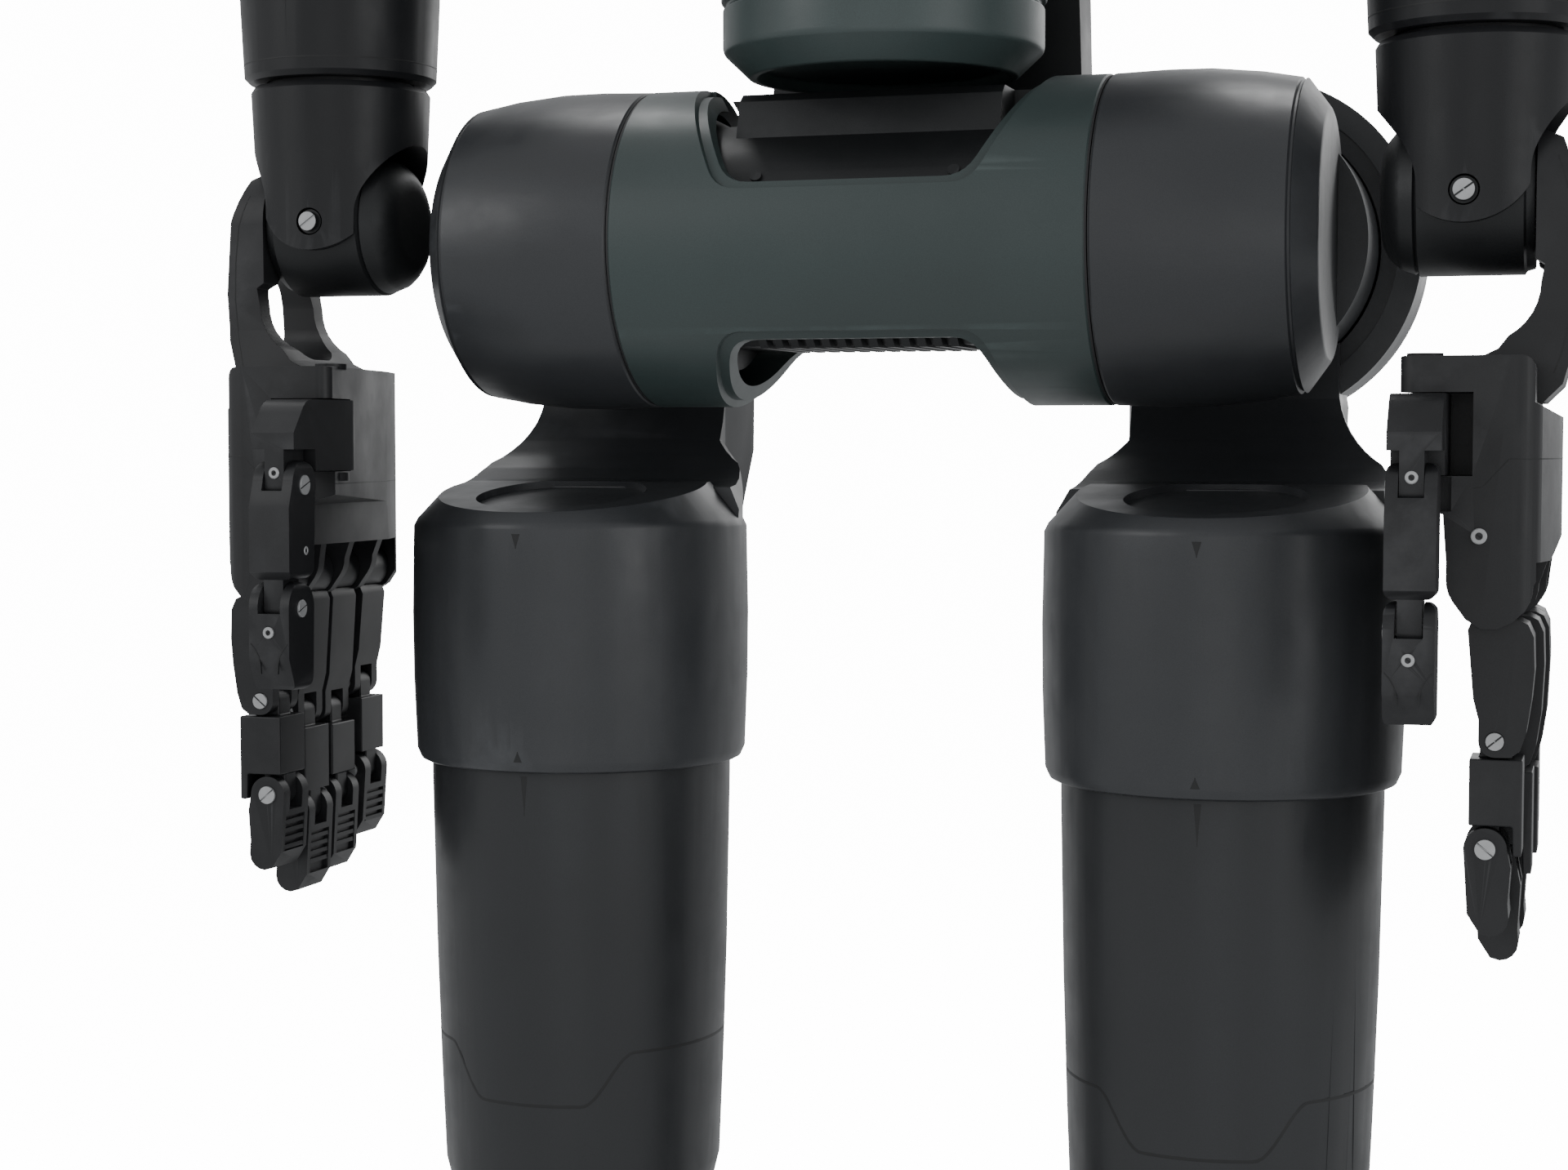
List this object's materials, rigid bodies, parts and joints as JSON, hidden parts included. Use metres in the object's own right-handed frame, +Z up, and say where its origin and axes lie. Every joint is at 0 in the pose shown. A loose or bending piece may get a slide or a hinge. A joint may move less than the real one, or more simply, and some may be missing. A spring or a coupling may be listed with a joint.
{
  "type": "humanoid robot",
  "caption": "Standing jointed humanoid robot kit with tubular limbs, drum-shaped hips and waist, and five-fingered hands with pinned finger joints.",
  "frame": {"origin": "on the floor, midway between the two feet", "axes": "+Z up, the robot faces -Y, +X is the robot's left side"},
  "size_m": [0.52, 0.263, 1.702],
  "materials": {
    "pelvis_shell": "satin dark green-grey",
    "body_shell": "satin dark grey",
    "hand_shell": "satin near-black",
    "core": "dull black",
    "foot": "matt black",
    "pin": "brushed"
  },
  "bodies": {
    "pelvis": {"pelvis_housing": "pelvis_shell"},
    "waist": {"waist_bracket": "core", "waist_drum": "pelvis_shell"},
    "torso": {"torso": "body_shell"},
    "neck": {"neck": "core"},
    "head": {"head": "body_shell"},
    "left_shoulder": {"left_shoulder": "body_shell"},
    "left_upper_arm": {"left_upper_arm": "body_shell"},
    "left_forearm": {"left_forearm": "hand_shell"},
    "left_wrist_housing": {"left_wrist_housing": "hand_shell"},
    "left_wrist_drum": {"left_wrist_drum": "core"},
    "left_hand": {"left_hand_bracket": "hand_shell", "left_palm": "hand_shell"},
    "left_thumb_base": {"left_thumb_base": "hand_shell"},
    "left_thumb_proximal": {"left_thumb_proximal": "hand_shell"},
    "left_thumb_distal": {"left_thumb_distal": "hand_shell"},
    "left_index_proximal": {"left_index_proximal": "hand_shell"},
    "left_index_middle": {"left_index_middle": "hand_shell"},
    "left_index_distal": {"left_index_distal": "hand_shell"},
    "left_middle_proximal": {"left_middle_proximal": "hand_shell"},
    "left_middle_middle": {"left_middle_middle": "hand_shell"},
    "left_middle_distal": {"left_middle_distal": "hand_shell"},
    "left_ring_proximal": {"left_ring_proximal": "hand_shell"},
    "left_ring_middle": {"left_ring_middle": "hand_shell"},
    "left_ring_distal": {"left_ring_distal": "hand_shell"},
    "left_little_proximal": {"left_little_proximal": "hand_shell"},
    "left_little_middle": {"left_little_middle": "hand_shell"},
    "left_little_distal": {"left_little_distal": "hand_shell"},
    "left_hip_drum": {"left_hip_drum": "body_shell"},
    "left_hip_yoke": {"left_hip_yoke": "body_shell"},
    "left_thigh": {"left_thigh": "body_shell"},
    "left_shin": {"left_shin": "body_shell"},
    "left_foot": {"left_foot": "foot"},
    "right_shoulder": {"right_shoulder": "body_shell"},
    "right_upper_arm": {"right_upper_arm": "body_shell"},
    "right_forearm": {"right_forearm": "hand_shell"},
    "right_wrist_housing": {"right_wrist_housing": "hand_shell"},
    "right_wrist_drum": {"right_wrist_drum": "core"},
    "right_hand": {"right_hand_bracket": "hand_shell", "right_palm": "hand_shell"},
    "right_thumb_base": {"right_thumb_base": "hand_shell"},
    "right_thumb_proximal": {"right_thumb_proximal": "hand_shell"},
    "right_thumb_distal": {"right_thumb_distal": "hand_shell"},
    "right_index_proximal": {"right_index_proximal": "hand_shell"},
    "right_index_middle": {"right_index_middle": "hand_shell"},
    "right_index_distal": {"right_index_distal": "hand_shell"},
    "right_middle_proximal": {"right_middle_proximal": "hand_shell"},
    "right_middle_middle": {"right_middle_middle": "hand_shell"},
    "right_middle_distal": {"right_middle_distal": "hand_shell"},
    "right_ring_proximal": {"right_ring_proximal": "hand_shell"},
    "right_ring_middle": {"right_ring_middle": "hand_shell"},
    "right_ring_distal": {"right_ring_distal": "hand_shell"},
    "right_little_proximal": {"right_little_proximal": "hand_shell"},
    "right_little_middle": {"right_little_middle": "hand_shell"},
    "right_little_distal": {"right_little_distal": "hand_shell"},
    "right_hip_drum": {"right_hip_drum": "body_shell"},
    "right_hip_yoke": {"right_hip_yoke": "body_shell"},
    "right_thigh": {"right_thigh": "body_shell"},
    "right_shin": {"right_shin": "body_shell"},
    "right_foot": {"right_foot": "foot"}
  },
  "joints": [
    {"name": "waist_pitch", "type": "hinge", "parent": "pelvis", "child": "waist", "pos_m": [0, 0.0275, 0.88], "axis": [1, 0, 0], "range_deg": [-6, 25]},
    {"name": "waist_yaw", "type": "hinge", "parent": "waist", "child": "torso", "pos_m": [0, 0.0275, 1.028], "axis": [0, 0, 1], "range_deg": [-8, 8]},
    {"name": "neck_yaw", "type": "hinge", "parent": "torso", "child": "neck", "pos_m": [0, 0.0275, 1.468], "axis": [0, 0, 1], "range_deg": [-70, 70]},
    {"name": "head_pitch", "type": "hinge", "parent": "neck", "child": "head", "pos_m": [0, 0.0275, 1.52], "axis": [1, 0, 0], "range_deg": [-20, 25]},
    {"name": "left_shoulder_pitch", "type": "hinge", "parent": "torso", "child": "left_shoulder", "pos_m": [0.152, 0.0115, 1.4], "axis": [-1, 0, 0], "range_deg": [-5, 150]},
    {"name": "left_shoulder_roll", "type": "hinge", "parent": "left_shoulder", "child": "left_upper_arm", "pos_m": [0.216, 0.0115, 1.4], "axis": [0, 1, 0], "range_deg": [-85, 0]},
    {"name": "left_elbow", "type": "hinge", "parent": "left_upper_arm", "child": "left_forearm", "pos_m": [0.216, 0.0115, 1.15], "axis": [-1, 0, 0], "range_deg": [0, 100]},
    {"name": "left_forearm_turn", "type": "hinge", "parent": "left_forearm", "child": "left_wrist_housing", "pos_m": [0.216, 0.0115, 0.945], "axis": [0, 0, 1], "range_deg": [-38, 28]},
    {"name": "left_wrist_tilt", "type": "hinge", "parent": "left_wrist_housing", "child": "left_wrist_drum", "pos_m": [0.2135, 0.0115, 0.8907], "axis": [0, -1, 0], "range_deg": [-5, 10]},
    {"name": "left_wrist_swing", "type": "hinge", "parent": "left_wrist_drum", "child": "left_hand", "pos_m": [0.238, 0.0115, 0.8907], "axis": [-1, 0, 0], "range_deg": [-32, 32]},
    {"name": "left_thumb_swing", "type": "hinge", "parent": "left_hand", "child": "left_thumb_base", "pos_m": [0.202, -0.0265, 0.81], "axis": [0, 0, 1], "range_deg": [-70, 0]},
    {"name": "left_thumb_flex", "type": "hinge", "parent": "left_thumb_base", "child": "left_thumb_proximal", "pos_m": [0.2014, -0.0655, 0.791], "axis": [-1, 0, 0], "range_deg": [-35, 0]},
    {"name": "left_thumb_tip", "type": "hinge", "parent": "left_thumb_proximal", "child": "left_thumb_distal", "pos_m": [0.2014, -0.0685, 0.746], "axis": [-1, 0, 0], "range_deg": [-30, 0]},
    {"name": "left_index_knuckle", "type": "hinge", "parent": "left_hand", "child": "left_index_proximal", "pos_m": [0.225, -0.029, 0.756], "axis": [0, 1, 0], "range_deg": [-10, 40]},
    {"name": "left_index_middle_joint", "type": "hinge", "parent": "left_index_proximal", "child": "left_index_middle", "pos_m": [0.2267, -0.029, 0.7083], "axis": [0, 1, 0], "range_deg": [0, 80]},
    {"name": "left_index_tip_joint", "type": "hinge", "parent": "left_index_middle", "child": "left_index_distal", "pos_m": [0.2241, -0.029, 0.6725], "axis": [0, 1, 0], "range_deg": [0, 90]},
    {"name": "left_middle_knuckle", "type": "hinge", "parent": "left_hand", "child": "left_middle_proximal", "pos_m": [0.2275, -0.004, 0.756], "axis": [0, 1, 0], "range_deg": [-10, 22]},
    {"name": "left_middle_middle_joint", "type": "hinge", "parent": "left_middle_proximal", "child": "left_middle_middle", "pos_m": [0.2292, -0.004, 0.7015], "axis": [0, 1, 0], "range_deg": [0, 45]},
    {"name": "left_middle_tip_joint", "type": "hinge", "parent": "left_middle_middle", "child": "left_middle_distal", "pos_m": [0.2266, -0.004, 0.6631], "axis": [0, 1, 0], "range_deg": [0, 90]},
    {"name": "left_ring_knuckle", "type": "hinge", "parent": "left_hand", "child": "left_ring_proximal", "pos_m": [0.2287, 0.021, 0.756], "axis": [0, 1, 0], "range_deg": [-10, 17]},
    {"name": "left_ring_middle_joint", "type": "hinge", "parent": "left_ring_proximal", "child": "left_ring_middle", "pos_m": [0.2304, 0.021, 0.7005], "axis": [0, 1, 0], "range_deg": [0, 38]},
    {"name": "left_ring_tip_joint", "type": "hinge", "parent": "left_ring_middle", "child": "left_ring_distal", "pos_m": [0.2278, 0.021, 0.6665], "axis": [0, 1, 0], "range_deg": [0, 90]},
    {"name": "left_little_knuckle", "type": "hinge", "parent": "left_hand", "child": "left_little_proximal", "pos_m": [0.2282, 0.046, 0.756], "axis": [0, 1, 0], "range_deg": [-10, 18]},
    {"name": "left_little_middle_joint", "type": "hinge", "parent": "left_little_proximal", "child": "left_little_middle", "pos_m": [0.2299, 0.046, 0.7085], "axis": [0, 1, 0], "range_deg": [0, 38]},
    {"name": "left_little_tip_joint", "type": "hinge", "parent": "left_little_middle", "child": "left_little_distal", "pos_m": [0.2273, 0.046, 0.673], "axis": [0, 1, 0], "range_deg": [0, 90]},
    {"name": "left_hip_pitch", "type": "hinge", "parent": "pelvis", "child": "left_hip_drum", "pos_m": [0.12, 0.0275, 0.88], "axis": [-1, 0, 0], "range_deg": [-18, 90]},
    {"name": "left_hip_roll", "type": "hinge", "parent": "left_hip_drum", "child": "left_hip_yoke", "pos_m": [0.1265, 0.1125, 0.88], "axis": [0, 1, 0], "range_deg": [-4, 8]},
    {"name": "left_hip_turn", "type": "hinge", "parent": "left_hip_yoke", "child": "left_thigh", "pos_m": [0.1265, 0.0385, 0.689], "axis": [0, 0, -1], "range_deg": [-30, 20]},
    {"name": "left_knee", "type": "hinge", "parent": "left_thigh", "child": "left_shin", "pos_m": [0.1265, 0.0385, 0.46], "axis": [1, 0, 0], "range_deg": [0, 105]},
    {"name": "left_ankle", "type": "hinge", "parent": "left_shin", "child": "left_foot", "pos_m": [0.1265, 0.0385, 0.08], "axis": [-1, 0, 0], "range_deg": [-35, 25]},
    {"name": "right_shoulder_pitch", "type": "hinge", "parent": "torso", "child": "right_shoulder", "pos_m": [-0.152, 0.0115, 1.4], "axis": [-1, 0, 0], "range_deg": [-5, 150]},
    {"name": "right_shoulder_roll", "type": "hinge", "parent": "right_shoulder", "child": "right_upper_arm", "pos_m": [-0.216, 0.0115, 1.4], "axis": [0, -1, 0], "range_deg": [-85, 0]},
    {"name": "right_elbow", "type": "hinge", "parent": "right_upper_arm", "child": "right_forearm", "pos_m": [-0.216, 0.0115, 1.15], "axis": [-1, 0, 0], "range_deg": [0, 100]},
    {"name": "right_forearm_turn", "type": "hinge", "parent": "right_forearm", "child": "right_wrist_housing", "pos_m": [-0.216, 0.0115, 0.945], "axis": [0, 0, -1], "range_deg": [-38, 28]},
    {"name": "right_wrist_tilt", "type": "hinge", "parent": "right_wrist_housing", "child": "right_wrist_drum", "pos_m": [-0.2135, 0.0115, 0.8907], "axis": [0, 1, 0], "range_deg": [-5, 10]},
    {"name": "right_wrist_swing", "type": "hinge", "parent": "right_wrist_drum", "child": "right_hand", "pos_m": [-0.238, 0.0115, 0.8907], "axis": [-1, 0, 0], "range_deg": [-32, 32]},
    {"name": "right_thumb_swing", "type": "hinge", "parent": "right_hand", "child": "right_thumb_base", "pos_m": [-0.202, -0.0265, 0.81], "axis": [0, 0, -1], "range_deg": [-70, 0]},
    {"name": "right_thumb_flex", "type": "hinge", "parent": "right_thumb_base", "child": "right_thumb_proximal", "pos_m": [-0.2014, -0.0655, 0.791], "axis": [-1, 0, 0], "range_deg": [-35, 0]},
    {"name": "right_thumb_tip", "type": "hinge", "parent": "right_thumb_proximal", "child": "right_thumb_distal", "pos_m": [-0.2014, -0.0685, 0.746], "axis": [-1, 0, 0], "range_deg": [-30, 0]},
    {"name": "right_index_knuckle", "type": "hinge", "parent": "right_hand", "child": "right_index_proximal", "pos_m": [-0.225, -0.029, 0.756], "axis": [0, -1, 0], "range_deg": [-10, 40]},
    {"name": "right_index_middle_joint", "type": "hinge", "parent": "right_index_proximal", "child": "right_index_middle", "pos_m": [-0.2267, -0.029, 0.7083], "axis": [0, -1, 0], "range_deg": [0, 80]},
    {"name": "right_index_tip_joint", "type": "hinge", "parent": "right_index_middle", "child": "right_index_distal", "pos_m": [-0.2241, -0.029, 0.6725], "axis": [0, -1, 0], "range_deg": [0, 90]},
    {"name": "right_middle_knuckle", "type": "hinge", "parent": "right_hand", "child": "right_middle_proximal", "pos_m": [-0.2275, -0.004, 0.756], "axis": [0, -1, 0], "range_deg": [-10, 22]},
    {"name": "right_middle_middle_joint", "type": "hinge", "parent": "right_middle_proximal", "child": "right_middle_middle", "pos_m": [-0.2292, -0.004, 0.7015], "axis": [0, -1, 0], "range_deg": [0, 45]},
    {"name": "right_middle_tip_joint", "type": "hinge", "parent": "right_middle_middle", "child": "right_middle_distal", "pos_m": [-0.2266, -0.004, 0.6631], "axis": [0, -1, 0], "range_deg": [0, 90]},
    {"name": "right_ring_knuckle", "type": "hinge", "parent": "right_hand", "child": "right_ring_proximal", "pos_m": [-0.2287, 0.021, 0.756], "axis": [0, -1, 0], "range_deg": [-10, 17]},
    {"name": "right_ring_middle_joint", "type": "hinge", "parent": "right_ring_proximal", "child": "right_ring_middle", "pos_m": [-0.2304, 0.021, 0.7005], "axis": [0, -1, 0], "range_deg": [0, 38]},
    {"name": "right_ring_tip_joint", "type": "hinge", "parent": "right_ring_middle", "child": "right_ring_distal", "pos_m": [-0.2278, 0.021, 0.6665], "axis": [0, -1, 0], "range_deg": [0, 90]},
    {"name": "right_little_knuckle", "type": "hinge", "parent": "right_hand", "child": "right_little_proximal", "pos_m": [-0.2282, 0.046, 0.756], "axis": [0, -1, 0], "range_deg": [-10, 18]},
    {"name": "right_little_middle_joint", "type": "hinge", "parent": "right_little_proximal", "child": "right_little_middle", "pos_m": [-0.2299, 0.046, 0.7085], "axis": [0, -1, 0], "range_deg": [0, 38]},
    {"name": "right_little_tip_joint", "type": "hinge", "parent": "right_little_middle", "child": "right_little_distal", "pos_m": [-0.2273, 0.046, 0.673], "axis": [0, -1, 0], "range_deg": [0, 90]},
    {"name": "right_hip_pitch", "type": "hinge", "parent": "pelvis", "child": "right_hip_drum", "pos_m": [-0.12, 0.0275, 0.88], "axis": [-1, 0, 0], "range_deg": [-18, 90]},
    {"name": "right_hip_roll", "type": "hinge", "parent": "right_hip_drum", "child": "right_hip_yoke", "pos_m": [-0.1265, 0.1125, 0.88], "axis": [0, 1, 0], "range_deg": [-8, 4]},
    {"name": "right_hip_turn", "type": "hinge", "parent": "right_hip_yoke", "child": "right_thigh", "pos_m": [-0.1265, 0.0385, 0.689], "axis": [0, 0, 1], "range_deg": [-30, 20]},
    {"name": "right_knee", "type": "hinge", "parent": "right_thigh", "child": "right_shin", "pos_m": [-0.1265, 0.0385, 0.46], "axis": [1, 0, 0], "range_deg": [0, 105]},
    {"name": "right_ankle", "type": "hinge", "parent": "right_shin", "child": "right_foot", "pos_m": [-0.1265, 0.0385, 0.08], "axis": [-1, 0, 0], "range_deg": [-35, 25]}
  ],
  "couplings": [
    {"joint": "left_thumb_tip", "follows": "left_thumb_flex", "ratio": 0.8},
    {"joint": "right_thumb_tip", "follows": "right_thumb_flex", "ratio": 0.8}
  ]
}
